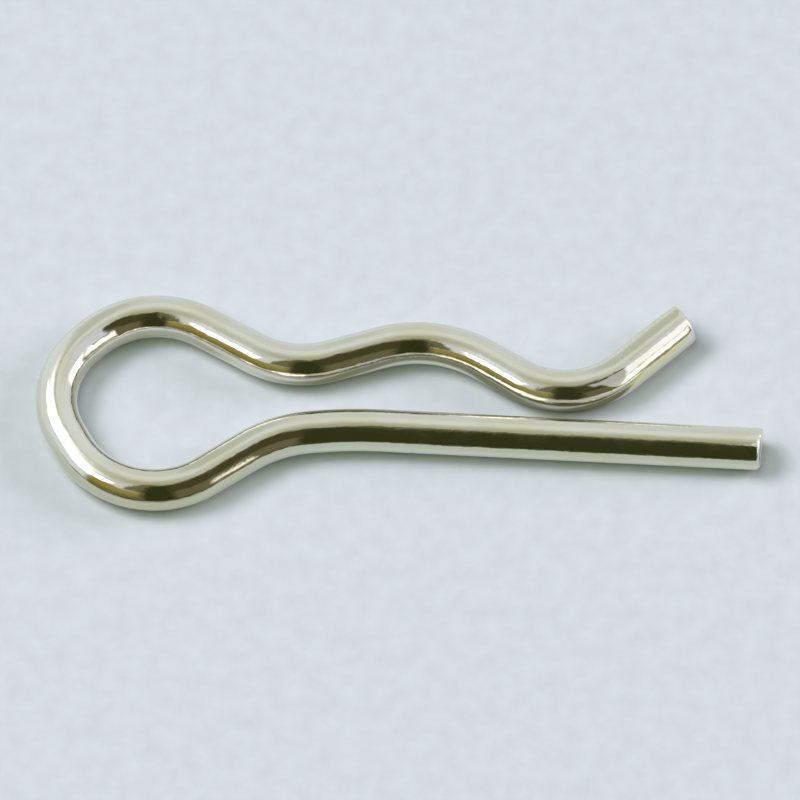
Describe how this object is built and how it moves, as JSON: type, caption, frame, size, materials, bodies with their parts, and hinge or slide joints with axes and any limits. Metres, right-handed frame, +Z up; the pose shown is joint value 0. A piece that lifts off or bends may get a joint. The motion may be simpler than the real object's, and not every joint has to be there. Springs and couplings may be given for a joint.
{
  "type": "hitch r clip pin",
  "caption": "R-shaped retaining clip of plated spring wire: a straight leg passes through a shaft's cross hole while a wavy spring leg seats round the outside and grips it.",
  "frame": {"origin": "Centre of the shaft that the clip holds: on the straight leg's axis, under the hump of the spring leg, in the plane of the wire's centreline.", "axes": "+X along the straight leg to its free tip, +Y in the clip's plane towards the spring leg, +Z up out of that plane; the clip lies flat."},
  "size_m": [0.0412, 0.0145, 0.0024],
  "materials": {
    "plated_wire": "bright nickel plate over drawn spring wire"
  },
  "bodies": {
    "root": {"clip": "plated_wire"}
  },
  "joints": []
}
